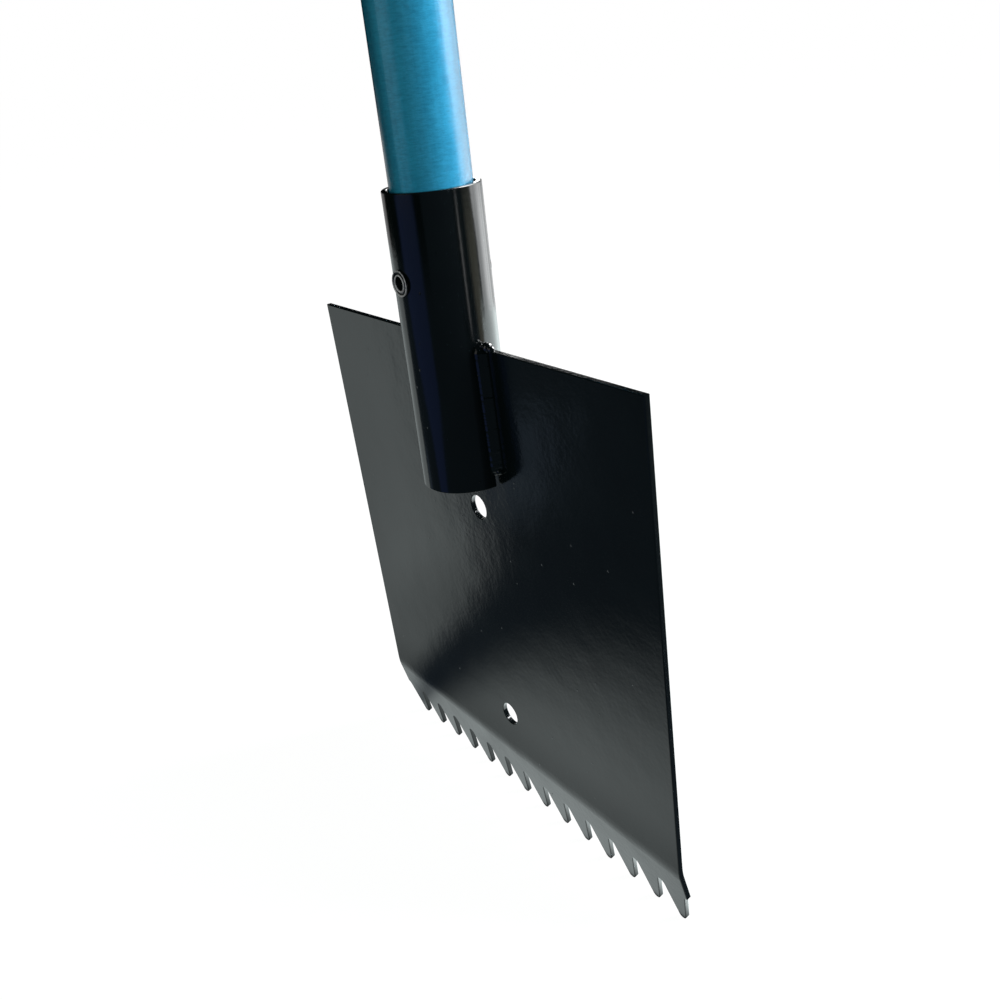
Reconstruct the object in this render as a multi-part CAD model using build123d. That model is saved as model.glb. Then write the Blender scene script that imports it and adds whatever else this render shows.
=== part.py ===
from build123d import *
import math
import os

# Roofing shovel: a toothed steel blade welded into a slotted steel socket, on a round
# fibreglass handle. Millimetres. +Z up with the teeth down, X across the blade, and the
# blade's flat front face in the plane y = 0, so -Y is the front and +Y the back.
# Origin: on the front face, midway between the blade's two holes.

# Blade
BLADE_WIDTH = 220.0
BLADE_THICKNESS = 2.5
HOLE_SPACING = 110.0
HOLE_DIAMETER = 11.0
TOP_ABOVE_UPPER_HOLE = 74.5
BEND_BELOW_TOP = 206.5        # sharp corner between the flat and the lip
BEND_ANGLE = 12.5             # degrees, the lip turns backward
BEND_RADIUS = 28.0            # on the front face
BLADE_EDGE_ROUND = 0.4

# Teeth, measured down the lip from the bend's sharp corner
TOOTH_COUNT = 14
ROOT_DEPTH = 16.0
TIP_DEPTH = 36.0
ROOT_RADIUS = 1.9
TIP_RADIUS = 2.0

# Socket tube, measured along its own axis from the blade's top edge
TUBE_OUTER = 38.1
TUBE_WALL = 2.4
TUBE_ABOVE_BLADE = 60.5
TUBE_BELOW_TOP_EDGE = 58.5
TUBE_LEAN = 1.5               # degrees, the top leans backward
TUBE_AXIS_Y = -0.8            # axis at the level of the blade's top edge
SLOT_FRONT_GAP = 1.5          # filled by the seam welds
SLOT_BACK_GAP = 0.1
SLOT_END_GAP = 0.5
RIM_ROUND = 0.5

# Handle
HANDLE_OUTER = 32.0
HANDLE_INNER = 25.4
HANDLE_LENGTH = 1170.0
HANDLE_START = 3.0            # handle's lower end above the blade's top edge
HANDLE_EDGE_ROUND = 0.6
PLUG_LENGTH = 85.0
PLUG_CLEARANCE = 0.05
PLUG_CHAMFER = 1.0

# Tubular rivet through socket, handle and plug
RIVET_HEIGHT = 27.3           # above the blade's top edge
RIVET_OUTER = 7.9
RIVET_INNER = 5.8
RIVET_HOLE = 8.0
RIM_OUTER = 10.4
FACTORY_HEAD_DIAMETER = 11.6
FACTORY_HEAD_HEIGHT = 1.3
FACTORY_HEAD_RIM = 0.2        # height of the head's edge above the tube

# Welds
TOP_WELD_LENGTH = 8.0
TOP_WELD_WIDTH = 5.0
TOP_WELD_HEIGHT = 3.6
TOP_WELD_ROUND = 1.8
TOP_WELD_OVERLAP = 3.0        # how far the bead's block starts inside the tube's outline
SEAM_WELD_RADIUS = 3.6
SEAM_WELD_OFFSET = 0.6
SEAM_WELD_END = 53.2          # below the blade's top edge

# Grip and end cap at the upper end
GRIP_OUTER = 38.0
GRIP_END_OUTER = 35.0
GRIP_TAPER = 14.0
GRIP_LENGTH = 300.0
GRIP_FIT = 0.05
CAP_OUTER = 37.0
CAP_SKIRT = 30.0
CAP_CROWN = 5.0
CAP_GAP = 0.4
CAP_ROUND = 3.0

BLADE_TOP_Z = HOLE_SPACING / 2 + TOP_ABOVE_UPPER_HOLE
BEND_Z = BLADE_TOP_Z - BEND_BELOW_TOP
TUBE_RADIUS = TUBE_OUTER / 2
BORE_RADIUS = TUBE_RADIUS - TUBE_WALL
HANDLE_TOP = HANDLE_START + HANDLE_LENGTH
FAR = 60.0                    # reach of cutting blocks beyond the piece they cut


def on_tube_axis(shape):
    """Place a shape drawn round the Z axis, with z = 0 level with the blade's top edge."""
    return Pos(0, TUBE_AXIS_Y, BLADE_TOP_Z) * Rot(-TUBE_LEAN, 0, 0) * shape


def upright(radius, bottom, top):
    """A cylinder round the Z axis between two heights."""
    height = top - bottom
    return Pos(0, 0, bottom) * Cylinder(radius, height, align=(Align.CENTER, Align.CENTER, Align.MIN))


def ring(outer_radius, inner_radius, bottom, top):
    """A plain sleeve round the Z axis."""
    return upright(outer_radius, bottom, top) - upright(inner_radius, bottom - 1, top + 1)


def along_y(radius, centre_z, half_length=FAR):
    """A cylinder along Y through the axis of the tube."""
    return Pos(0, 0, centre_z) * Rot(90, 0, 0) * Cylinder(radius, 2 * half_length)


def side_profile():
    """Closed outline of the plate in the Y-Z plane, bent about a centre behind the plate."""
    bend = math.radians(BEND_ANGLE)
    tangent = BEND_RADIUS * math.tan(bend / 2)
    inner_radius = BEND_RADIUS - BLADE_THICKNESS
    centre = (BEND_RADIUS, BEND_Z + tangent)
    reach = TIP_DEPTH + BLADE_THICKNESS - tangent

    def on_arc(radius, angle):
        return (centre[0] - radius * math.cos(angle), centre[1] - radius * math.sin(angle))

    front_start, front_mid, front_end = (on_arc(BEND_RADIUS, a) for a in (0, bend / 2, bend))
    back_start, back_mid, back_end = (on_arc(inner_radius, a) for a in (0, bend / 2, bend))
    lip = (math.sin(bend) * reach, -math.cos(bend) * reach)
    front_tip = (front_end[0] + lip[0], front_end[1] + lip[1])
    back_tip = (back_end[0] + lip[0], back_end[1] + lip[1])
    outline = (
        Line((0, BLADE_TOP_Z), front_start)
        + ThreePointArc(front_start, front_mid, front_end)
        + Line(front_end, front_tip)
        + Line(front_tip, back_tip)
        + Line(back_tip, back_end)
        + ThreePointArc(back_end, back_mid, back_start)
        + Line(back_start, (BLADE_THICKNESS, BLADE_TOP_Z))
        + Line((BLADE_THICKNESS, BLADE_TOP_Z), (0, BLADE_TOP_Z))
    )
    return make_face(outline)


def flank_slope(pitch, depth):
    """Half-angle of a tooth whose rounded tip and root fit one pitch at the given depth."""
    low, high = math.radians(2), math.radians(40)
    radii = ROOT_RADIUS + TIP_RADIUS
    for _ in range(60):
        angle = (low + high) / 2
        straight = depth - radii * (1 - math.sin(angle))
        half_pitch = radii * math.cos(angle) + straight * math.tan(angle)
        if half_pitch < pitch / 2:
            low = angle
        else:
            high = angle
    return angle


def tooth_gaps():
    """Everything below the toothed edge, drawn in the lip's plane with v pointing down it."""
    pitch = BLADE_WIDTH / TOOTH_COUNT
    angle = flank_slope(pitch, TIP_DEPTH - ROOT_DEPTH)
    root_v = ROOT_DEPTH - ROOT_RADIUS * (1 / math.sin(angle) - 1)
    tip_v = TIP_DEPTH + TIP_RADIUS * (1 / math.sin(angle) - 1)
    points = []
    for i in range(-1, TOOTH_COUNT + 1):
        left = -BLADE_WIDTH / 2 + i * pitch
        points += [(left, -root_v), (left + pitch / 2, -tip_v)]
    points.append((BLADE_WIDTH / 2 + pitch, -root_v))
    corners = [(points[-1][0], -tip_v - FAR), (points[0][0], -tip_v - FAR)]
    region = make_face(Polyline(*points, *corners, close=True))
    inner = [v for v in region.vertices() if abs(v.X) < BLADE_WIDTH / 2 + pitch * 0.9]
    roots = [v for v in inner if abs(v.Y + root_v) < 0.01]
    region = fillet(roots, ROOT_RADIUS)
    tips = [v for v in region.vertices() if abs(v.Y + tip_v) < 0.01 and abs(v.X) < BLADE_WIDTH / 2 + pitch]
    return fillet(tips, TIP_RADIUS)


def blade():
    plate = Pos(-BLADE_WIDTH / 2, 0, 0) * extrude(Plane.YZ * side_profile(), BLADE_WIDTH)
    lip_plane = Plane((0, 0, BEND_Z), x_dir=(1, 0, 0), z_dir=Vector(0, -1, 0).rotate(Axis.X, BEND_ANGLE))
    plate -= extrude(lip_plane * tooth_gaps(), FAR / 2, both=True)
    for z in (-HOLE_SPACING / 2, HOLE_SPACING / 2):
        plate -= along_y(HOLE_DIAMETER / 2, z)
    return fillet(skin_edges(plate), BLADE_EDGE_ROUND)


def skin_edges(plate):
    """The outline of the front and back skins, without the edges across the thickness
    and without the straight lines where the bend meets the flats."""
    chosen = []
    for edge in plate.edges():
        is_short_line = edge.geom_type == GeomType.LINE and edge.length < BLADE_THICKNESS * 1.05
        runs_across = abs((edge @ 1 - edge @ 0).X) > BLADE_WIDTH * 0.9
        is_bend_line = runs_across and edge.center().Z < BLADE_TOP_Z - 1
        if not (is_short_line or is_bend_line):
            chosen.append(edge)
    return chosen


def socket_tube():
    tube = ring(TUBE_RADIUS, BORE_RADIUS, -TUBE_BELOW_TOP_EDGE, TUBE_ABOVE_BLADE)
    rims = tube.edges().filter_by(GeomType.CIRCLE)
    tube = fillet(rims, RIM_ROUND)
    tube -= along_y(RIVET_HOLE / 2, RIVET_HEIGHT)
    slot_height = TUBE_BELOW_TOP_EDGE + FAR + SLOT_END_GAP
    slot_width = SLOT_FRONT_GAP + BLADE_THICKNESS + SLOT_BACK_GAP
    slot_y = slot_width / 2 - SLOT_FRONT_GAP
    slot_z = BLADE_TOP_Z + SLOT_END_GAP - slot_height / 2
    return on_tube_axis(tube) - Pos(0, slot_y, slot_z) * Box(2 * FAR, slot_width, slot_height)


def front_of(y, centre_z, height):
    """Block that holds everything in front of a plane across Y."""
    return Pos(0, y - FAR / 2, centre_z) * Box(BLADE_WIDTH, FAR, height)


def tube_outline(radius):
    """The tube's round outline, or its bore, as a solid along its whole length."""
    return on_tube_axis(upright(radius, -FAR - TUBE_BELOW_TOP_EDGE, TUBE_ABOVE_BLADE))


def top_weld(side):
    """Rounded lump on the blade's top edge, in the corner beside the tube."""
    lump = Box(TOP_WELD_LENGTH + TOP_WELD_OVERLAP, TOP_WELD_WIDTH, 2 * TOP_WELD_HEIGHT)
    lump = fillet(lump.edges(), TOP_WELD_ROUND)
    centre_x = TUBE_RADIUS + (TOP_WELD_LENGTH - TOP_WELD_OVERLAP) / 2
    lump = Pos(side * centre_x, BLADE_THICKNESS / 2, BLADE_TOP_Z) * lump
    below = Pos(0, 0, BLADE_TOP_Z - FAR / 2) * Box(BLADE_WIDTH, FAR, FAR)
    return lump - tube_outline(TUBE_RADIUS) - below


def seam_weld(side):
    """Fillet bead down the front, in the corner between the tube and the blade. It fills
    the gap between the slot's front edge and the blade."""
    bead = upright(SEAM_WELD_RADIUS, -SEAM_WELD_END, SEAM_WELD_RADIUS)
    bead = fillet(bead.edges().sort_by(Axis.Z)[0], SEAM_WELD_RADIUS * 0.6)
    centre_x = TUBE_RADIUS + SEAM_WELD_OFFSET
    bead = Pos(side * centre_x, -SEAM_WELD_OFFSET, BLADE_TOP_Z) * bead
    above = Pos(0, 0, BLADE_TOP_Z + FAR / 2) * Box(BLADE_WIDTH, FAR, FAR)
    behind = Pos(0, FAR / 2, BLADE_TOP_Z) * Box(BLADE_WIDTH, FAR, 4 * FAR)
    front_shell = tube_outline(TUBE_RADIUS) & front_of(-SLOT_FRONT_GAP, BLADE_TOP_Z, 4 * FAR)
    return bead - above - behind - tube_outline(BORE_RADIUS) - front_shell


def handle():
    shaft = ring(HANDLE_OUTER / 2, HANDLE_INNER / 2, HANDLE_START, HANDLE_TOP)
    shaft = fillet(shaft.edges().filter_by(GeomType.CIRCLE), HANDLE_EDGE_ROUND)
    return on_tube_axis(shaft - along_y(RIVET_HOLE / 2, RIVET_HEIGHT))


def handle_plug():
    plug = upright(HANDLE_INNER / 2 - PLUG_CLEARANCE, HANDLE_START, HANDLE_START + PLUG_LENGTH)
    plug = chamfer(plug.edges().filter_by(GeomType.CIRCLE), PLUG_CHAMFER)
    return on_tube_axis(plug - along_y(RIVET_HOLE / 2, RIVET_HEIGHT))


def rolled_rim():
    """Section of the rivet's rolled front end: a raised lip, a groove and an outer roll."""
    bore = RIVET_INNER / 2
    edge = RIM_OUTER / 2
    crown = TUBE_RADIUS
    outline = (
        Line((bore, crown - 2), (bore, crown + 0.7))
        + ThreePointArc((bore, crown + 0.7), (bore + 0.4, crown + 1.1), (bore + 0.8, crown + 0.8))
        + ThreePointArc((bore + 0.8, crown + 0.8), (bore + 1.15, crown + 0.55), (bore + 1.5, crown + 0.7))
        + ThreePointArc((bore + 1.5, crown + 0.7), (edge - 0.25, crown + 0.65), (edge, crown + 0.1))
        + Line((edge, crown + 0.1), (edge, crown - 2))
        + Line((edge, crown - 2), (bore, crown - 2))
    )
    return make_face(outline)


def factory_head():
    """Section of the rivet's low domed head at the back."""
    half = FACTORY_HEAD_DIAMETER / 2
    crown = TUBE_RADIUS
    rim = crown + FACTORY_HEAD_RIM
    outline = (
        Line((0, crown - 2), (0, crown + FACTORY_HEAD_HEIGHT))
        + ThreePointArc(
            (0, crown + FACTORY_HEAD_HEIGHT),
            (half * 0.62, crown + FACTORY_HEAD_HEIGHT * 0.78),
            (half, rim),
        )
        + Line((half, rim), (half, crown - 2))
        + Line((half, crown - 2), (0, crown - 2))
    )
    return make_face(outline)


def rivet():
    """Tubular rivet along Y: both heads follow the tube's round wall."""
    tube_body = upright(TUBE_RADIUS, -FAR, FAR)
    heads = []
    for section, turn in ((rolled_rim(), 90), (factory_head(), -90)):
        head = revolve(Plane.XZ * section, Axis.Z)
        heads.append(Pos(0, 0, RIVET_HEIGHT) * Rot(turn, 0, 0) * head - tube_body)
    shank = along_y(RIVET_OUTER / 2, RIVET_HEIGHT, TUBE_RADIUS)
    body = shank + heads[0] + heads[1]
    bore = Pos(0, -FAR + TUBE_RADIUS - 1, RIVET_HEIGHT) * Rot(90, 0, 0) * Cylinder(RIVET_INNER / 2, 2 * FAR)
    return on_tube_axis(body - bore)


def grip_sleeve():
    """Soft sleeve with a tapered end at each side."""
    top = HANDLE_TOP - CAP_SKIRT - CAP_GAP
    bottom = top - GRIP_LENGTH
    inner = HANDLE_OUTER / 2 + GRIP_FIT
    section = Polyline(
        (inner, bottom),
        (GRIP_END_OUTER / 2, bottom),
        (GRIP_OUTER / 2, bottom + GRIP_TAPER),
        (GRIP_OUTER / 2, top - GRIP_TAPER),
        (GRIP_END_OUTER / 2, top),
        (inner, top),
        close=True,
    )
    return on_tube_axis(revolve(Plane.XZ * make_face(section), Axis.Z))


def end_cap():
    """Cup-shaped cap pushed over the handle's upper end."""
    cap = upright(CAP_OUTER / 2, HANDLE_TOP - CAP_SKIRT, HANDLE_TOP + CAP_CROWN)
    cap = fillet(cap.edges().sort_by(Axis.Z)[-1], CAP_ROUND)
    pocket = upright(HANDLE_OUTER / 2 + GRIP_FIT, HANDLE_TOP - CAP_SKIRT - 1, HANDLE_TOP + CAP_GAP / 2)
    return on_tube_axis(cap - pocket)


def main():
    nodes = {
        "blade": blade(),
        "socket_tube": socket_tube(),
        "weld_top_right": top_weld(1),
        "weld_top_left": top_weld(-1),
        "weld_seam_right": seam_weld(1),
        "weld_seam_left": seam_weld(-1),
        "handle": handle(),
        "handle_plug": handle_plug(),
        "rivet": rivet(),
        "grip_sleeve": grip_sleeve(),
        "end_cap": end_cap(),
    }
    os.makedirs("parts", exist_ok=True)
    for name, shape in nodes.items():
        export_step(shape, f"parts/{name}.step")


main()
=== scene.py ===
import math
import random

import bmesh
import bpy
import numpy as np
from mathutils import Matrix, Vector


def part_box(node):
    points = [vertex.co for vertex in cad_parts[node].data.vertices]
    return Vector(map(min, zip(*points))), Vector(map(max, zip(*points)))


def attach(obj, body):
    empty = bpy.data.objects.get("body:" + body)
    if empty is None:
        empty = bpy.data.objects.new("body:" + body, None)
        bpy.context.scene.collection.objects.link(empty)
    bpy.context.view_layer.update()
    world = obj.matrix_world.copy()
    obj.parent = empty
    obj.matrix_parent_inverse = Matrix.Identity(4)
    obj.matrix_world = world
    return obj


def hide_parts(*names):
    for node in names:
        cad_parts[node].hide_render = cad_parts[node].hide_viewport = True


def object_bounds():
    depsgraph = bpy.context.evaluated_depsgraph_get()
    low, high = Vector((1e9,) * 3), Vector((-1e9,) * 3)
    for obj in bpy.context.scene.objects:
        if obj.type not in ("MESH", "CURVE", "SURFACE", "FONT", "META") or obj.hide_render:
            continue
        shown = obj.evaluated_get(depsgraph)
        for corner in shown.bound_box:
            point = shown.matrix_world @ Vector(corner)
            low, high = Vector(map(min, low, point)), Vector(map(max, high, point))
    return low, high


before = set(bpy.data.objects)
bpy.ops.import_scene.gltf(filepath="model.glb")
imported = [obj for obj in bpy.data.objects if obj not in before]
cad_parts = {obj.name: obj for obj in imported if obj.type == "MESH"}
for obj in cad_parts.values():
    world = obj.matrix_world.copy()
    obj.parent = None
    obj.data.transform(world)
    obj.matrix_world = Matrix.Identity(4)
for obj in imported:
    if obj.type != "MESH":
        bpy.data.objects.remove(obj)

# A roofing shovel's looks: black powder-coated head, blue fibreglass handle, ribbed grip.
# Metres, in the part's frame: the blade's front faces -Y and the handle goes up +Z.
# Azimuths are in degrees, counted from +X towards +Y.

CAD_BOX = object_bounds()
FLOOR_Z = CAD_BOX[0].z
BLADE_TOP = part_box("blade")[1].z
HALF_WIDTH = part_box("blade")[1].x

# Camera
CAMERA_PLACE = Vector((0.3395, -0.20764, 0.24396))
CAMERA_AIM = Vector((-0.7605, 0.4907, -0.4254))
CAMERA_ROLL = math.radians(-8.1)
CAMERA_LENS = 36.87

# Black powder coat. The welds carry a glossier film, and the broad blade more orange peel.
COAT_COLOUR = (0.0030, 0.0045, 0.0052)
COAT_ROUGHNESS = 0.13
COAT_SPECULAR = 0.5
PEEL_SIZE = 0.0024
PEEL_HEIGHT = 0.000018
BLADE_PEEL_HEIGHT = 0.000045
WELD_ROUGHNESS = 0.09
WELD_SPECULAR = 1.0
WELD_PEEL_HEIGHT = 0.00002
NIB_SPACING = 0.009
NIB_RADIUS = 0.0005
NIB_HEIGHT = 0.00022

# Handle
FIBRE_LIGHT = (0.042, 0.410, 0.710)
FIBRE_DARK = (0.026, 0.305, 0.550)

# Tube axis, shared by everything round
AXIS_BASE = Vector((0, -0.0008, BLADE_TOP))
AXIS_LEAN = math.radians(1.5)
AXIS_TURN = Matrix.Rotation(-AXIS_LEAN, 3, "X")
TUBE_RADIUS = 0.01905

# Rivet: its height on the axis, and where the crests of its rolled rim carry a painted highlight,
# grey paint standing in for glints
RIVET_HEIGHT = 0.0273
RIVET_CREST_Y = -0.0199
RIVET_CREST_DEPTH = 0.00026
# painted highlight colour for the rim's crests, tinted pink to offset the greenish front light
CREST_HIGHLIGHT_COLOUR = (0.95, 0.66, 0.76)

# Grip sleeve and cap
SLEEVE_BORE = 0.01605
GRIP_LENGTH = 0.300
GRIP_END_RADIUS = 0.0175
GRIP_SWELL = 0.0015
GRIP_FLARE = 0.014
RING_COUNT = 45
RING_PITCH = 0.006
CAP_TOP = 1.178
CAP_LENGTH = 0.035

# What the paint mirrors. The black cloth on the floor starts at its tip, by the blade's
# lower left corner, and widens between its two edges.
CLOTH_TIP = (-0.114, 0.004)
CLOTH_LEFT = [
    (-0.119, 0.020), (-0.121, 0.006), (-0.144, -0.026), (-0.159, -0.053), (-0.170, -0.072),
    (-0.185, -0.095), (-0.208, -0.122), (-0.250, -0.150), (-0.562, -0.317), (-60.0, -33.8),
]
CLOTH_RIGHT = [
    (-0.110, 0.020), (-0.107, 0.006), (-0.104, -0.030), (-0.103, -0.055), (-0.098, -0.072),
    (-0.085, -0.085), (-0.057, -0.098), (-0.019, -0.108), (0.030, -0.118), (0.100, -0.125),
    (0.150, -0.100), (0.135, 0.010), (0.200, 0.130), (50.0, 80.0),
]
PALE_TINT = (0.90, 1.0, 1.0)
CLOTH_TINT = (0.042, 0.056, 0.075)
BROWN_TINT = (0.56, 0.53, 0.40)
BLUE_TINT = (0.075, 0.11, 0.30)
KEY_TINT = (0.97, 0.99, 1.0)
GREY_TINT = (1.0, 0.97, 0.97)
WHITE = (1.0, 1.0, 1.0)
NEAR_WALL = 0.95
FAR_WALL = 1.6
WALL_TOP = 1.6


def shader(name):
    """A new material with its principled shader."""
    material = bpy.data.materials.new(name)
    material.use_nodes = True
    tree = material.node_tree
    return material, tree, tree.nodes["Principled BSDF"]


def object_coordinates(tree, scale=(1.0, 1.0, 1.0)):
    """The place on the object in metres, stretched by a scale."""
    where = tree.nodes.new("ShaderNodeTexCoord")
    mapping = tree.nodes.new("ShaderNodeMapping")
    mapping.inputs["Scale"].default_value = scale
    tree.links.new(where.outputs["Object"], mapping.inputs["Vector"])
    return mapping.outputs["Vector"]


def noise_texture(tree, vector, size, detail=2.0, roughness=0.5):
    """Noise whose lumps are about `size` metres across."""
    texture = tree.nodes.new("ShaderNodeTexNoise")
    texture.inputs["Scale"].default_value = 1.0 / size
    texture.inputs["Detail"].default_value = detail
    texture.inputs["Roughness"].default_value = roughness
    tree.links.new(vector, texture.inputs["Vector"])
    return texture.outputs["Fac"]


def spread(tree, value, low, high, bottom=0.0, top=1.0):
    """Map a texture's value from low-high to bottom-top."""
    ramp = tree.nodes.new("ShaderNodeMapRange")
    ramp.inputs["From Min"].default_value = low
    ramp.inputs["From Max"].default_value = high
    ramp.inputs["To Min"].default_value = bottom
    ramp.inputs["To Max"].default_value = top
    tree.links.new(value, ramp.inputs["Value"])
    return ramp.outputs["Result"]


def colour_mix(tree, factor, first, second):
    """Blend two colours by a texture."""
    mix = tree.nodes.new("ShaderNodeMix")
    mix.data_type = "RGBA"
    mix.inputs["A"].default_value = (*first, 1)
    mix.inputs["B"].default_value = (*second, 1)
    tree.links.new(factor, mix.inputs["Factor"])
    return mix.outputs["Result"]


def darken(tree, factor, colour, shade):
    """Multiply a colour by a shade as far as a texture says."""
    mix = tree.nodes.new("ShaderNodeMix")
    mix.data_type = "RGBA"
    mix.blend_type = "MULTIPLY"
    mix.inputs["B"].default_value = (*shade, 1)
    tree.links.new(factor, mix.inputs["Factor"])
    tree.links.new(colour, mix.inputs["A"])
    return mix.outputs["Result"]


def bump(tree, height, distance, normal=None):
    """Raise the surface by a texture; distance is the full height in metres."""
    node = tree.nodes.new("ShaderNodeBump")
    node.inputs["Distance"].default_value = distance
    tree.links.new(height, node.inputs["Height"])
    if normal is not None:
        tree.links.new(normal, node.inputs["Normal"])
    return node.outputs["Normal"]


def nibs(tree, place):
    """Sparse round dust nibs under the paint, one in each cell of a loose grid."""
    cells = tree.nodes.new("ShaderNodeTexVoronoi")
    cells.inputs["Scale"].default_value = 1.0 / NIB_SPACING
    tree.links.new(place, cells.inputs["Vector"])
    return spread(tree, cells.outputs["Distance"], NIB_RADIUS / NIB_SPACING, 0.0)


def powder_coat(name, roughness=COAT_ROUGHNESS, peel_height=PEEL_HEIGHT, specular=COAT_SPECULAR):
    """Glossy black powder coat: orange peel, a few nibs, slight drifts of gloss and colour."""
    material, tree, surface = shader(name)
    place = object_coordinates(tree)
    peel = noise_texture(tree, place, PEEL_SIZE, detail=1.0)
    sag = noise_texture(tree, place, PEEL_SIZE * 8, detail=1.0)
    haze = noise_texture(tree, place, 0.03, detail=3.0)
    lighter = tuple(1.5 * c for c in COAT_COLOUR)
    colour = colour_mix(tree, spread(tree, haze, 0.35, 0.75), COAT_COLOUR, lighter)
    tree.links.new(colour, surface.inputs["Base Color"])
    gloss = spread(tree, haze, 0.3, 0.7, roughness * 0.9, roughness * 1.15)
    tree.links.new(gloss, surface.inputs["Roughness"])
    broad = bump(tree, sag, peel_height * 5)
    fine = bump(tree, peel, peel_height, broad)
    dust = bump(tree, nibs(tree, place), NIB_HEIGHT, fine)
    tree.links.new(dust, surface.inputs["Normal"])
    surface.inputs["Specular IOR Level"].default_value = specular
    return material


def crest_glint_paint():
    """Glossy black paint with a painted highlight: grey on the crests of the rivet's rolled rim,
    standing in for glints.
    """
    material, tree, surface = shader("crest_glint_paint")
    place = object_coordinates(tree)
    parts = tree.nodes.new("ShaderNodeSeparateXYZ")
    tree.links.new(place, parts.inputs[0])
    scuffs_and_glint_breakup = noise_texture(tree, place, 0.0011, detail=3.0)
    # painted highlight: the crests of the rolled rim are painted grey where glints fall, broken up
    # by the scuff noise
    crest = spread(tree, parts.outputs["Y"], RIVET_CREST_Y + RIVET_CREST_DEPTH, RIVET_CREST_Y)
    painted_glint = tree.nodes.new("ShaderNodeMath")
    painted_glint.operation = "MULTIPLY"
    tree.links.new(crest, painted_glint.inputs[0])
    tree.links.new(spread(tree, scuffs_and_glint_breakup, 0.25, 0.6, 0.35, 1.0), painted_glint.inputs[1])
    colour = colour_mix(tree, painted_glint.outputs[0], COAT_COLOUR, CREST_HIGHLIGHT_COLOUR)
    tree.links.new(colour, surface.inputs["Base Color"])
    tree.links.new(spread(tree, painted_glint.outputs[0], 0.0, 1.0, 0.10, 0.32), surface.inputs["Roughness"])
    tree.links.new(bump(tree, scuffs_and_glint_breakup, 0.00001), surface.inputs["Normal"])
    return material


def fibreglass():
    """Blue pultruded fibreglass under clear resin: threads of its surface veil show, and painted
    shade darkens the colour where the surface turns away from view."""
    material, tree, surface = shader("blue_fibreglass")
    hoops = noise_texture(tree, object_coordinates(tree, (1, 1, 4.5)), 0.0035, 4.0, 0.75)
    along = noise_texture(tree, object_coordinates(tree, (1, 1, 0.06)), 0.0014, 3.0)
    blotches = noise_texture(tree, object_coordinates(tree, (1, 1, 0.5)), 0.008, 4.0)
    threads = tree.nodes.new("ShaderNodeMath")
    threads.operation = "MULTIPLY_ADD"
    threads.inputs[1].default_value = 0.25
    tree.links.new(along, threads.inputs[0])
    tree.links.new(hoops, threads.inputs[2])
    veil = colour_mix(tree, spread(tree, threads.outputs[0], 0.48, 0.76), FIBRE_DARK, FIBRE_LIGHT)
    clouded = darken(tree, spread(tree, blotches, 0.4, 0.65), veil, (0.82, 0.92, 0.93))
    # painted shade: the colour darkens towards the silhouette, where the surface turns away from
    # view
    glancing = tree.nodes.new("ShaderNodeLayerWeight")
    painted_edge_shade = spread(tree, glancing.outputs["Facing"], 0.22, 0.55)
    edge_shaded = darken(tree, painted_edge_shade, clouded, (0.5, 0.5, 0.5))
    tree.links.new(edge_shaded, surface.inputs["Base Color"])
    tree.links.new(bump(tree, threads.outputs[0], 0.00012), surface.inputs["Normal"])
    tree.links.new(bump(tree, threads.outputs[0], 0.00008), surface.inputs["Coat Normal"])
    surface.inputs["Roughness"].default_value = 0.5
    surface.inputs["Specular IOR Level"].default_value = 0.2
    surface.inputs["Coat Weight"].default_value = 1.0
    surface.inputs["Coat Roughness"].default_value = 0.16
    return material


def plug_wood():
    """Grain of a raw hardwood dowel."""
    material, tree, surface = shader("plug_wood")
    grain = noise_texture(tree, object_coordinates(tree, (1, 1, 0.05)), 0.0012, detail=3.0)
    colour = colour_mix(tree, grain, (0.28, 0.16, 0.07), (0.55, 0.38, 0.20))
    tree.links.new(colour, surface.inputs["Base Color"])
    tree.links.new(bump(tree, grain, 0.0001), surface.inputs["Normal"])
    surface.inputs["Roughness"].default_value = 0.7
    return material


def moulded(name, colour, roughness, grain):
    """Black moulded rubber or plastic with a fine stipple."""
    material, tree, surface = shader(name)
    place = object_coordinates(tree)
    stipple = noise_texture(tree, place, grain, detail=2.0)
    dust = noise_texture(tree, place, 0.018, detail=4.0)
    lighter = tuple(1.9 * c for c in colour)
    dusty = colour_mix(tree, spread(tree, dust, 0.4, 0.75), colour, lighter)
    tree.links.new(dusty, surface.inputs["Base Color"])
    gloss = spread(tree, dust, 0.3, 0.7, roughness * 0.9, roughness * 1.1)
    tree.links.new(gloss, surface.inputs["Roughness"])
    tree.links.new(bump(tree, stipple, grain * 0.12), surface.inputs["Normal"])
    return material


def paint(node, material):
    """Give a CAD node its finished material."""
    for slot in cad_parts[node].material_slots:
        slot.material = material


def heal_seam(node):
    """Smooth away the shading step along a turned CAD node's seam."""
    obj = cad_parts[node]
    obj.modifiers.new("close_seam", "WELD").merge_threshold = 0.000001
    obj.modifiers.new("even_normals", "WEIGHTED_NORMAL")


def add_piece(name, mesh, material, slot, *nodes):
    """A finished piece of the tool that stands for CAD nodes."""
    mesh.materials.clear()
    mesh.materials.append(material)
    mesh.shade_smooth()
    obj = bpy.data.objects.new(name, mesh)
    bpy.context.collection.objects.link(obj)
    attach(obj, "root")
    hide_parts(*nodes)
    return obj


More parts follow.
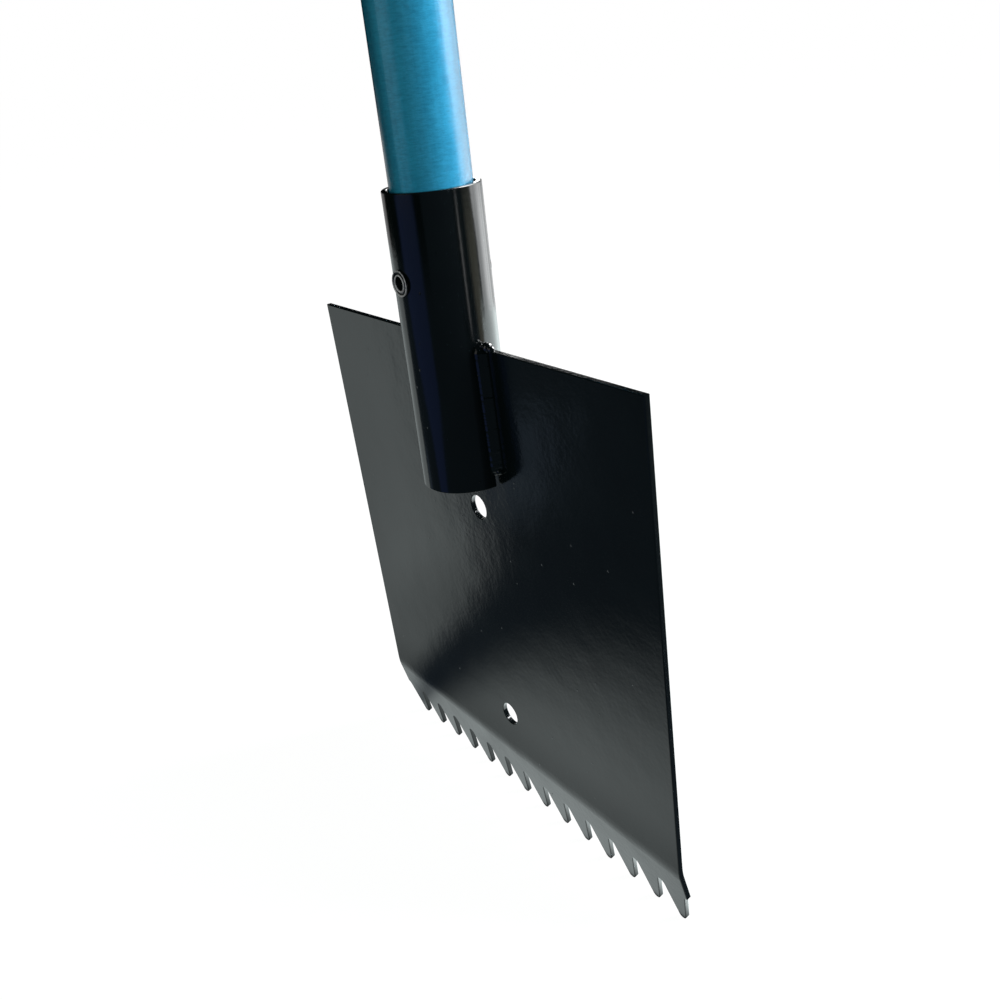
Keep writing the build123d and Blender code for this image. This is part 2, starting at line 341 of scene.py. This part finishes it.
def lathe(name, profile, base, turn, steps):
    """A turned mesh: (radius, height) pairs in metres swept round an axis."""
    mesh = bmesh.new()
    angles = [2 * math.pi * i / steps for i in range(steps)]
    rings = []
    for radius, height in profile:
        ring = [Vector((radius * math.cos(a), radius * math.sin(a), height)) for a in angles]
        rings.append([mesh.verts.new(base + turn @ p) for p in ring])
    for low, high in zip(rings, rings[1:]):
        for i in range(steps):
            j = (i + 1) % steps
            mesh.faces.new((low[i], low[j], high[j], high[i]))
    for ring in (rings[0], rings[-1]):
        bmesh.ops.contextual_create(mesh, geom=ring)
    bmesh.ops.recalc_face_normals(mesh, faces=mesh.faces)
    data = bpy.data.meshes.new(name)
    mesh.to_mesh(data)
    mesh.free()
    return data


def melted(name, lumps, grain):
    """One smooth mesh from many overlapping balls, each (centre, radius), in metres."""
    mesh = bmesh.new()
    for centre, radius in lumps:
        place = Matrix.Translation(centre)
        bmesh.ops.create_icosphere(mesh, subdivisions=3, radius=radius, matrix=place)
    data = bpy.data.meshes.new(name)
    mesh.to_mesh(data)
    mesh.free()
    obj = bpy.data.objects.new(name, data)
    bpy.context.collection.objects.link(obj)
    remesh = obj.modifiers.new("remesh", "REMESH")
    remesh.mode = "VOXEL"
    remesh.voxel_size = grain
    smooth = obj.modifiers.new("smooth", "SMOOTH")
    smooth.iterations = 5
    evaluated = obj.evaluated_get(bpy.context.evaluated_depsgraph_get())
    result = bpy.data.meshes.new_from_object(evaluated)
    bpy.data.objects.remove(obj)
    return result


def seam_bead(side, material):
    """Rippled weld bead down the corner between the tube and the blade's front, made of two
    columns of balls and a small run-out at the lower end."""
    low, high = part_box("weld_seam_right")
    chance = random.Random(7 + side)
    lumps = [
        (Vector((side * 0.0202, -0.0016, low.z + 0.0016)), 0.0016),
        (Vector((side * 0.0222, -0.0010, low.z + 0.0022)), 0.0015),
    ]
    z = low.z + 0.0035
    while z < high.z - 0.0015:
        wander = chance.uniform(-0.00006, 0.00006)
        lumps.append((Vector((side * (0.0195 + wander), -0.0006, z)), 0.0033 + wander))
        lumps.append((Vector((side * (0.0215 + wander), 0.0002, z)), 0.0021 + wander))
        z += 0.0013
    name = "bead_right" if side > 0 else "bead_left"
    node = "weld_seam_right" if side > 0 else "weld_seam_left"
    add_piece(name, melted(name, lumps, 0.00025), material, "black_coated_weld", node)


def corner_weld(side, material):
    """Lump of weld on the blade's top edge beside the tube, with a little spatter."""
    balls = [
        (22.4, 1.2, 0.5, 2.3), (24.6, 1.2, 0.1, 1.6), (20.3, 1.1, 0.5, 1.9),
        (19.6, -1.4, -0.2, 1.6), (20.9, -0.6, 1.4, 0.9), (20.0, -2.3, 0.3, 0.8),
    ]
    lumps = []
    for x, y, z, radius in balls:
        centre = Vector((side * x / 1000, y / 1000, BLADE_TOP + z / 1000))
        lumps.append((centre, radius / 1000))
    name = "corner_right" if side > 0 else "corner_left"
    node = "weld_top_right" if side > 0 else "weld_top_left"
    add_piece(name, melted(name, lumps, 0.00018), material, "black_coated_weld", node)


def make_rivet(material):
    """Rolled rim with a blind bore in front, low domed head at the back."""
    middle = AXIS_BASE + AXIS_TURN @ Vector((0, 0, RIVET_HEIGHT))
    turn = AXIS_TURN @ Matrix.Rotation(math.radians(90), 3, "X")
    # (radius, height above the tube's surface) in millimetres
    bore = [(0.0, -3.0), (2.5, -3.0), (2.65, -2.8), (2.7, -0.5)]
    inner_roll = [(2.75, 0.45), (2.85, 0.78), (3.05, 0.96), (3.25, 0.94), (3.42, 0.75), (3.55, 0.50)]
    groove = [(3.72, 0.36), (4.15, 0.34)]
    outer_roll = [(4.38, 0.46), (4.54, 0.68), (4.72, 0.84), (4.95, 0.86), (5.10, 0.72), (5.18, 0.48)]
    flange = [(5.2, 0.1), (5.2, -1.0), (3.95, -1.0)]
    shank_end = [(3.95, -1.0)]
    head = [
        (5.8, -1.0), (5.8, 0.2), (5.72, 0.36), (5.4, 0.56), (4.4, 0.86), (3.2, 1.08), (1.8, 1.23),
        (0.0, 1.28),
    ]
    front = bore + inner_roll + groove + outer_roll + flange
    profile = [(r / 1000, TUBE_RADIUS + h / 1000) for r, h in front]
    profile += [(r / 1000, -TUBE_RADIUS - h / 1000) for r, h in shank_end + head]
    mesh = lathe("rivet_rolled", profile, middle, turn, 72)
    add_piece("rivet_rolled", mesh, material, "black_coated_rivet", "rivet")


def make_grip(material):
    """Soft sleeve with shallow rings, a plain band at each end and rounded lips."""
    bottom = (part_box("grip_sleeve")[0] - AXIS_BASE).z / math.cos(AXIS_LEAN)
    lip = [(SLEEVE_BORE, 0.0), (0.0170, 0.0), (0.0174, 0.0004), (GRIP_END_RADIUS, 0.0012)]
    ring = [
        (0.0190, 0.0), (0.0190, 0.0036), (0.0188, 0.0040), (0.0181, 0.0045), (0.0181, 0.0053),
        (0.0188, 0.0057),
    ]
    profile = list(lip)
    for z in np.arange(0.003, GRIP_FLARE, 0.0015):
        profile.append((GRIP_END_RADIUS + GRIP_SWELL * ease(z / GRIP_FLARE), z))
    for i in range(RING_COUNT):
        profile += [(r, 0.016 + i * RING_PITCH + z) for r, z in ring]
    profile.append((GRIP_END_RADIUS + GRIP_SWELL, GRIP_LENGTH - GRIP_FLARE))
    for z in np.arange(0.287, 0.298, 0.0015):
        profile.append((GRIP_END_RADIUS + GRIP_SWELL * ease((GRIP_LENGTH - z) / GRIP_FLARE), z))
    profile += [(r, GRIP_LENGTH - z) for r, z in reversed(lip)]
    profile = [(r, z + bottom + 0.0005) for r, z in profile]
    mesh = lathe("grip_ribbed", profile, AXIS_BASE, AXIS_TURN, 128)
    add_piece("grip_ribbed", mesh, material, "black_grip", "grip_sleeve")


def make_cap(material):
    """Moulded cap with a bead round its rim, a domed top and a small centre dimple."""
    rim = [
        (SLEEVE_BORE, 0.0), (0.0180, 0.0), (0.0184, 0.0003), (0.0185, 0.0010), (0.0185, 0.0032),
        (0.0184, 0.0040), (0.0180, 0.0045),
    ]
    dome = [
        (0.0180, 0.0300), (0.0179, 0.0312), (0.0175, 0.0326), (0.0166, 0.0338), (0.0150, 0.0346),
        (0.0120, 0.0349), (0.0050, 0.0350),
    ]
    dimple = [(0.0042, 0.0349), (0.0038, 0.0344), (0.0034, 0.0341), (0.0, 0.0341)]
    profile = [(r, z + CAP_TOP - CAP_LENGTH) for r, z in rim + dome + dimple]
    mesh = lathe("cap_moulded", profile, AXIS_BASE, AXIS_TURN, 96)
    add_piece("cap_moulded", mesh, material, "black_cap", "end_cap")


def make_camera():
    """The camera, close to the blade and tilted down at it."""
    data = bpy.data.cameras.new("camera")
    data.lens = CAMERA_LENS
    data.sensor_width = 36.0
    data.clip_start = 0.01
    data.clip_end = 200.0
    camera = bpy.data.objects.new("camera", data)
    bpy.context.collection.objects.link(camera)
    turn = CAMERA_AIM.to_track_quat("-Z", "Y").to_matrix() @ Matrix.Rotation(CAMERA_ROLL, 3, "Z")
    camera.matrix_world = Matrix.Translation(CAMERA_PLACE) @ turn.to_4x4()
    bpy.context.scene.camera = camera


def staged(name, points, faces, material):
    """A mesh of the studio, which isn't part of the tool."""
    mesh = bpy.data.meshes.new(name)
    mesh.from_pydata(points, [], faces)
    mesh.materials.append(material)
    obj = bpy.data.objects.new(name, mesh)
    bpy.context.collection.objects.link(obj)
    return obj


def only_mirrored(obj):
    """Seen in glossy reflections and nowhere else."""
    obj.visible_camera = False
    obj.visible_diffuse = False
    obj.visible_transmission = False
    obj.visible_volume_scatter = False
    obj.visible_shadow = False


def around(azimuth, distance, z):
    """A point at an azimuth round the tool."""
    angle = math.radians(azimuth)
    return Vector((distance * math.cos(angle), distance * math.sin(angle), z))


def make_floor():
    """A wide white floor that glows, so that almost no shadow shows."""
    material, tree, surface = shader("pale_floor")
    place = object_coordinates(tree)
    distance = tree.nodes.new("ShaderNodeVectorMath")
    distance.operation = "LENGTH"
    tree.links.new(place, distance.inputs[0])
    glow = spread(tree, distance.outputs["Value"], 0.3, 1.5, 0.975, 1.0)
    tree.links.new(glow, surface.inputs["Emission Strength"])
    surface.inputs["Base Color"].default_value = (0.10, 0.10, 0.10, 1)
    surface.inputs["Emission Color"].default_value = (1.0, 1.0, 1.0, 1)
    surface.inputs["Roughness"].default_value = 0.9
    surface.inputs["Specular IOR Level"].default_value = 0.0
    material.cycles.emission_sampling = "NONE"
    points = [around(a, 40.0, FLOOR_Z) for a in range(0, 360, 4)]
    floor = staged("floor", points, [tuple(range(len(points)))], material)
    floor.visible_diffuse = False
    floor.visible_glossy = False


def ease(t):
    """Smooth step from 0 to 1, for arrays."""
    t = np.clip(t, 0.0, 1.0)
    return t * t * (3.0 - 2.0 * t)


def band(value, first, last, soft):
    """1 between two values and 0 outside them, with soft edges."""
    return ease((value - first) / soft + 0.5) * ease((last - value) / soft + 0.5)


def bearing(x, y):
    """Azimuth of points on the floor."""
    return np.degrees(np.arctan2(y, x)) % 360.0


def signed_distance(x, y, line):
    """Distance to a polyline, positive on its left."""
    nearest = np.full(x.shape, 1e9)
    side = np.ones(x.shape)
    for (ax, ay), (bx, by) in zip(line, line[1:]):
        dx, dy = bx - ax, by - ay
        t = np.clip(((x - ax) * dx + (y - ay) * dy) / (dx * dx + dy * dy), 0.0, 1.0)
        gap = np.hypot(x - ax - t * dx, y - ay - t * dy)
        closer = gap < nearest
        side = np.where(closer, np.sign(dx * (y - ay) - dy * (x - ax)), side)
        nearest = np.where(closer, gap, nearest)
    return nearest * side


def cloth_cover(x, y):
    """1 on the black cloth and 0 off it. Its edges soften with the distance from its tip."""
    tip = np.hypot(x - CLOTH_TIP[0], y - CLOTH_TIP[1])
    into_left = signed_distance(x, y, CLOTH_LEFT) / (0.018 + 0.10 * tip)
    into_right = -signed_distance(x, y, CLOTH_RIGHT) / np.minimum(0.008 + tip, 0.15)
    near = ease((0.25 - np.hypot(x, y)) / 0.1)
    beside_tip = ease((y + 0.014) / 0.012) * ease((-x - 0.06) / 0.03) * near
    return ease(0.5 + into_left) * ease(0.5 + into_right) * (1.0 - 0.3 * beside_tip)


def edge_shade(x, y):
    """1 on the dark floor that the blade's right edge mirrors."""
    outside = ease((x - HALF_WIDTH - 0.0005) / 0.002)
    return outside * ease((y + 0.004) / 0.008) * ease((38.0 - bearing(x, y)) / 3.0)


def pale_level(x, y):
    """How bright the pale floor is, before its tint."""
    reach = np.hypot(x, y)
    level = 0.48 + 0.32 * ease((x + 0.14) / 0.16) + 0.08 * ease((reach - 0.3) / 0.6)
    # painted shadow: darker in front of the blade; brighter straight below the lip
    painted_shadow_dip = 0.28 * band(y, -0.034, -0.012, 0.02)
    level = level * (1.0 - painted_shadow_dip + 0.12 * band(y, -0.007, 0.006, 0.006))
    level = level + 0.12 * band(y, -0.012, 0.012, 0.01) * ease((-0.045 - x) / 0.02)
    # painted contact shadow: a dark line below the teeth's tips
    below_teeth = band(x, -HALF_WIDTH - 0.015, HALF_WIDTH + 0.015, 0.01)
    level = level * (1.0 - 0.95 * band(y, 0.0070, 0.0092, 0.001) * below_teeth)
    # brighter towards the cloth's far left edge
    from_left = bearing(x + HALF_WIDTH + 0.01, y)
    towards_cloth = ease((from_left - 204.0) / 8.0) * ease((240.0 - from_left) / 8.0)
    return level * (1.0 + 0.42 * towards_cloth * ease((reach - 0.2) / 0.12))


def key_pool(x, y):
    """1 where the floor behind the blade lies under the key light."""
    from_right = bearing(x - HALF_WIDTH - 0.012, y)
    from_left = bearing(x + HALF_WIDTH + 0.01, y)
    sides = ease((from_right - 57.0) / 6.0) * ease((142.0 - from_left) / 12.0)
    return ease((y - 0.0095) / 0.0065) * sides


def floor_radiance(x, y):
    """What the mirrored floor gives back: pale round the blade, black cloth in front of it and
    on its right, bright under the key light behind it."""
    turn = bearing(x, y)
    reach = np.hypot(x, y)
    shaded = edge_shade(x, y)
    cloth = np.maximum(cloth_cover(x, y), shaded)
    white = pale_level(x, y)
    lit = key_pool(x, y) * (1.0 - shaded)
    key = 3.2 - 2.3 * ease((turn - 104.0) / 38.0)
    brown = ease((turn - 38.0) / 4.0) * ease((62.0 - turn) / 3.0) * ease((reach - 0.4) / 0.1)
    blue_first = 250.0 - 18.0 * ease((reach - 0.45) / 0.6)
    blue_last = 270.0 + 11.0 * ease((reach - 0.45) / 0.35)
    blue = band(turn, blue_first, blue_last, 5.0) * ease((reach - 0.38) / 0.08)
    # painted glow: a brighter teal band on the cloth, which the blade mirrors beside the tube
    painted_glow = band(turn, 213.5, 220.5, 5.0) * band(reach, 0.33, 0.56, 0.08)
    shades = []
    for pale, dark, tan, sky in zip(PALE_TINT, CLOTH_TINT, BROWN_TINT, BLUE_TINT):
        level = white * pale * (1.0 - cloth) + dark * cloth * (1.0 + 2.2 * painted_glow)
        level = level + (sky - level) * blue
        level = level + (tan - level) * brown
        shades.append(level + (key * pale - level) * lit)
    return np.stack(shades, axis=-1)


def painted_card(name, points, rows, columns, light):
    """A grid of the studio that only reflections see, glowing with one colour per point."""
    corner = (np.arange(rows - 1)[:, None] * columns + np.arange(columns - 1)[None, :]).ravel()
    faces = np.stack([corner, corner + columns, corner + columns + 1, corner + 1], axis=-1)
    material = bpy.data.materials.new(name)
    material.use_nodes = True
    tree = material.node_tree
    tree.nodes.clear()
    shade = tree.nodes.new("ShaderNodeAttribute")
    shade.attribute_name = "radiance"
    glow = tree.nodes.new("ShaderNodeEmission")
    tree.links.new(shade.outputs["Color"], glow.inputs["Color"])
    out = tree.nodes.new("ShaderNodeOutputMaterial")
    tree.links.new(glow.outputs[0], out.inputs["Surface"])
    material.cycles.emission_sampling = "NONE"
    card = staged(name, points.tolist(), faces.tolist(), material)
    layer = card.data.attributes.new("radiance", "FLOAT_COLOR", "POINT")
    opaque = np.hstack([light, np.ones((len(light), 1))]).astype(np.float32)
    layer.data.foreach_set("color", opaque.ravel())
    only_mirrored(card)


def floor_card():
    """What the tool mirrors of the floor, finely divided near the tool."""
    ticks = 0.02 * np.sinh(8.2 * np.linspace(-1.0, 1.0, 401))
    x, y = np.meshgrid(ticks, ticks, indexing="ij")
    points = np.stack([x.ravel(), y.ravel(), np.full(x.size, FLOOR_Z)], axis=-1)
    light = floor_radiance(x, y).reshape(-1, 3)
    painted_card("floor_card", points, len(ticks), len(ticks), light)


def wall_card(name, first, last, distance, radiance):
    """What the tool mirrors of the walls between two azimuths, from the floor up."""
    turns = np.linspace(first, last, int(2 * (last - first)) + 1)
    heights = FLOOR_Z + (WALL_TOP - FLOOR_Z) * np.linspace(0.0, 1.0, 121) ** 2
    turn, z = np.meshgrid(turns, heights, indexing="ij")
    angle = np.radians(turn)
    places = np.stack([distance * np.cos(angle), distance * np.sin(angle), z], axis=-1)
    light = radiance(turn, z).reshape(-1, 3)
    painted_card(name, places.reshape(-1, 3), len(turns), len(heights), light)


def tinted(level, tint):
    """A brightness times a colour."""
    return np.stack([level * channel for channel in tint], axis=-1)


def right_wall(turn, z):
    """The key softbox with its slanting edge, a brown panel and a thin strip."""
    key = 3.2 + 1.1 * band(turn, 81.0, 101.0, 6.0)
    # higher up, brighter on the side near the camera and dimmer on the other
    key = key * (1.0 + 0.75 * ease(z / 0.12) * ease((92.0 - turn) / 30.0))
    key = key * (1.0 - 0.45 * ease(z / 0.1) * ease((turn - 72.0) / 15.0))
    # two darker seams
    key = key * (1.0 - 0.35 * band(turn, 97.0, 101.0, 3.0))
    key = key * (1.0 - 0.2 * band(turn, 71.0, 74.0, 2.0))
    # dim far side, very bright upper part
    key = key * (1.0 - 0.62 * ease((turn - 103.0) / 12.0))
    key = key * (1.0 + 4.0 * ease((z - 0.45) / 0.1))
    # slanting near edge, and a dark upper corner on the far side
    edge = 66.0 - 70.0 * np.clip(z + 0.02, 0.0, 0.3)
    key = key * ease((turn - edge) / 4.0 + 0.5)
    key = key * (1.0 - ease((z - 0.22) / 0.05) * ease((turn - 112.0) / 8.0))
    brown = band(turn, 39.0, 61.0, 4.0) * ease((0.08 - z) / 0.08)
    strip = 1.6 * band(turn, 17.5, 21.0, 1.5) * ease((0.08 - z) / 0.05)
    return tinted(key, KEY_TINT) + tinted(brown, BROWN_TINT) + tinted(strip, WHITE)


def left_wall(turn, z):
    """A dim panel far left, a blue panel low in front and a grey one above it."""
    pale = 0.42 * band(turn, 130.0, 190.0, 6.0) * ease((0.13 - z) / 0.06)
    blue = band(turn, 235.0, 282.0, 9.0) * ease((0.075 - z) / 0.01)
    grey = 0.5 * band(turn, 242.0, 276.0, 14.0) * ease((z - 0.09) / 0.01)
    return tinted(pale, WHITE) + tinted(blue, BLUE_TINT) + tinted(grey, GREY_TINT)


def rim_panel(turn, z):
    """A small bright panel that only faces turned straight up mirror."""
    return tinted(7.0 * band(turn, 135.0, 149.6, 3.0) * band(z, 0.28, 0.37, 0.02), WHITE)


def make_reflectors():
    """Everything the glossy paint mirrors: the floor and the walls all round."""
    floor_card()
    wall_card("right_wall", 10, 134, NEAR_WALL, right_wall)
    wall_card("rim_card", 134, 150, NEAR_WALL, rim_panel)
    wall_card("left_wall", 134, 300, FAR_WALL, left_wall)


def softbox(name, place, target, size, radiance, colour):
    """A rectangular light that lights matt surfaces and isn't mirrored."""
    width, height = size
    data = bpy.data.lights.new(name, "AREA")
    data.shape = "RECTANGLE"
    data.size = width
    data.size_y = height
    data.energy = radiance * math.pi * width * height
    data.color = colour
    light = bpy.data.objects.new(name, data)
    bpy.context.collection.objects.link(light)
    light.location = place
    light.rotation_mode = "QUATERNION"
    light.rotation_quaternion = (Vector(target) - Vector(place)).to_track_quat("-Z", "Y")
    light.visible_camera = False
    light.visible_glossy = False


def make_lights():
    """A tall bright softbox behind to the right, and dim ones in front, left and overhead."""
    chest = (0, 0, 0.5)
    softbox("key", around(54, 1.1, 0.8), chest, (0.8, 1.6), 8.4, (1.0, 0.96, 0.97))
    softbox("front", around(310, 2.0, 1.0), chest, (2.0, 2.0), 1.15, (0.65, 1.0, 0.90))
    softbox("left", around(235, 2.0, 1.0), chest, (2.0, 2.0), 0.65, (0.62, 1.0, 0.72))
    softbox("top", (0.3, -0.2, 3.0), (0, 0, 0.4), (1.5, 1.5), 0.8, (1.0, 1.0, 1.0))


def make_world():
    """White for the camera, unseen by matt and glossy surfaces."""
    world = bpy.data.worlds.new("white")
    world.use_nodes = True
    world.node_tree.nodes["Background"].inputs["Color"].default_value = (1, 1, 1, 1)
    world.cycles_visibility.diffuse = False
    world.cycles_visibility.glossy = False
    bpy.context.scene.world = world


coat = powder_coat("powder_coat")
blade_coat = powder_coat("blade_coat", peel_height=BLADE_PEEL_HEIGHT)
weld_coat = powder_coat("weld_coat", WELD_ROUGHNESS, WELD_PEEL_HEIGHT, WELD_SPECULAR)
paint("blade", blade_coat)
paint("socket_tube", coat)
paint("handle", fibreglass())
heal_seam("handle")
paint("handle_plug", plug_wood())
for side in (1, -1):
    seam_bead(side, coat)
    corner_weld(side, weld_coat)
make_rivet(crest_glint_paint())
make_grip(moulded("grip_rubber", (0.012, 0.012, 0.013), 0.6, 0.0006))
make_cap(moulded("cap_plastic", (0.015, 0.015, 0.016), 0.42, 0.0004))

make_camera()
make_world()
make_floor()
make_reflectors()
make_lights()
bpy.context.scene.view_settings.view_transform = "Standard"
